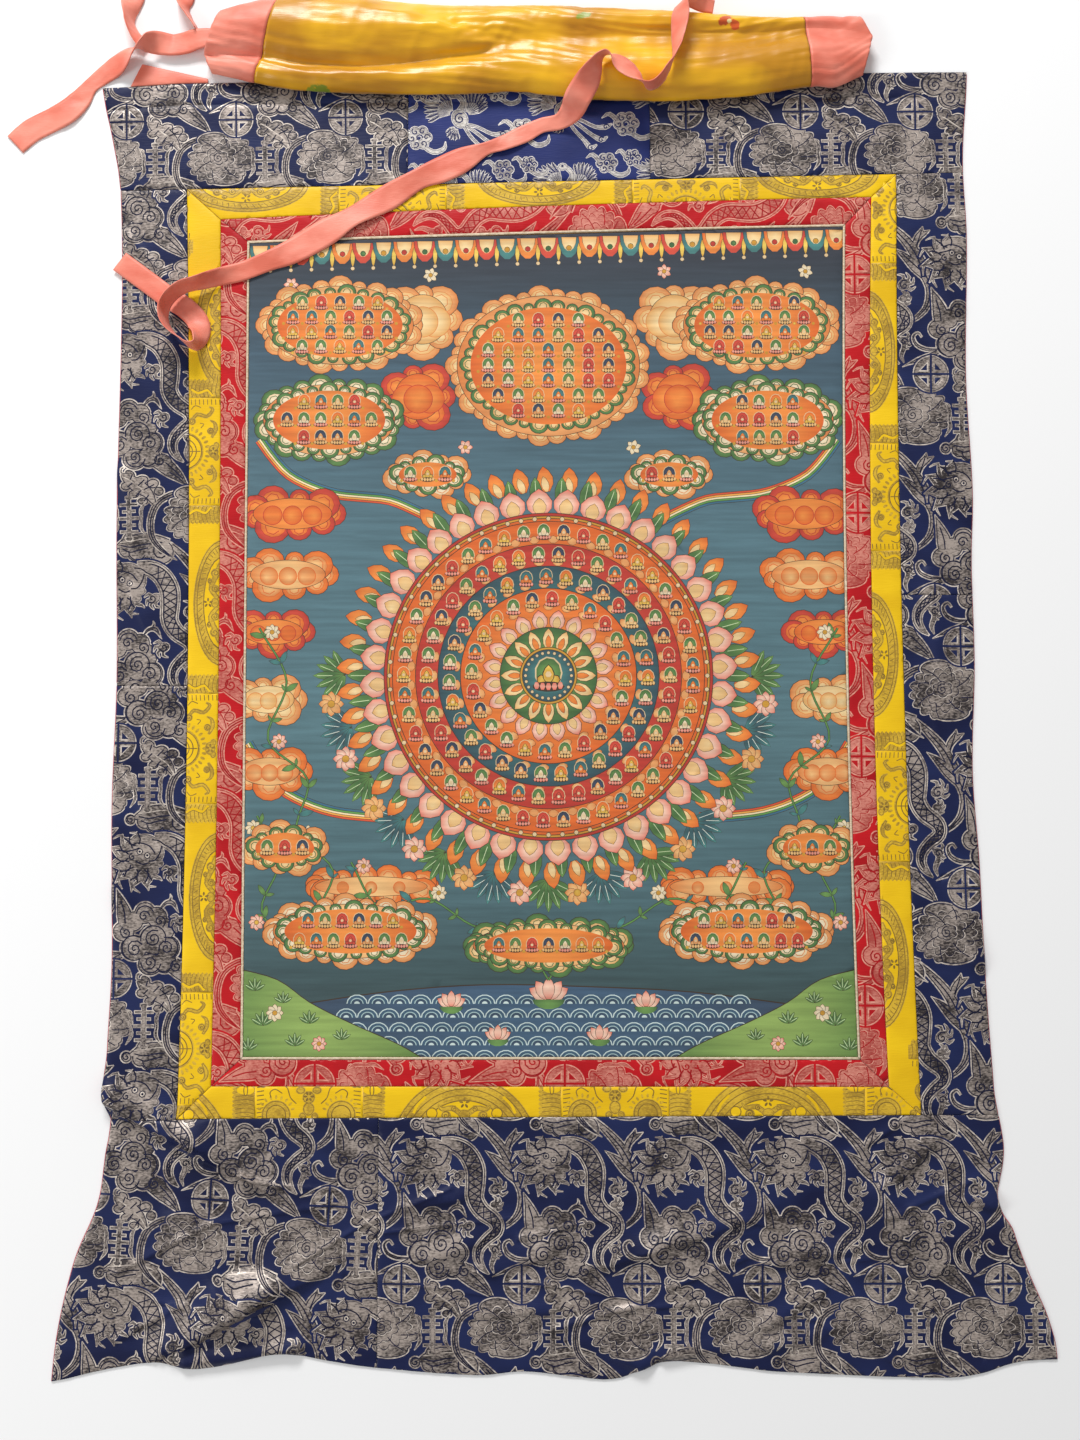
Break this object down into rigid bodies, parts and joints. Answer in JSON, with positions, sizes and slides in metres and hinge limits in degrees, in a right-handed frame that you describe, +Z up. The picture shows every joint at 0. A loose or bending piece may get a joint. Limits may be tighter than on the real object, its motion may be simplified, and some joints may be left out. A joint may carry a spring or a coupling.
{
  "type": "thangka scroll painting",
  "caption": "Painted scroll lying face up, framed by red and yellow strips in a blue brocade mount, its silk cover gathered across the head and silk ribbons loose over the corner.",
  "frame": {"origin": "middle of the footprint, on the surface that it lies on", "axes": "+Z up out of the painted face, +Y towards the head of the scroll, +X to the right of someone who reads it from its foot"},
  "size_m": [1.0489, 1.4089, 0.05],
  "materials": {
    "picture": "matt paint on cotton",
    "piping": "silk with gold thread",
    "red": "silk brocade",
    "yellow": "silk brocade",
    "blue": "silk brocade with silver thread",
    "cover": "silk satin",
    "ribbon": "silk"
  },
  "bodies": {
    "root": {"painting": "picture", "piping_head": "piping", "piping_right": "piping", "piping_foot": "piping", "piping_left": "piping", "red_head": "red", "red_right": "red", "red_foot": "red", "red_left": "red", "yellow_head": "yellow", "yellow_right": "yellow", "yellow_foot": "yellow", "yellow_left": "yellow", "blue_head_left": "blue", "blue_head_middle": "blue", "blue_head_right": "blue", "blue_left_upper": "blue", "blue_left_lower": "blue", "blue_right_upper": "blue", "blue_right_lower": "blue", "blue_foot_left": "blue", "blue_foot_right": "blue", "cover": "cover", "cover_band_left": "ribbon", "cover_band_right": "ribbon", "ribbon_long": "ribbon", "ribbon_left": "ribbon", "ribbon_rise": "ribbon", "ribbon_small": "ribbon", "ribbon_tuck": "ribbon"}
  },
  "joints": []
}
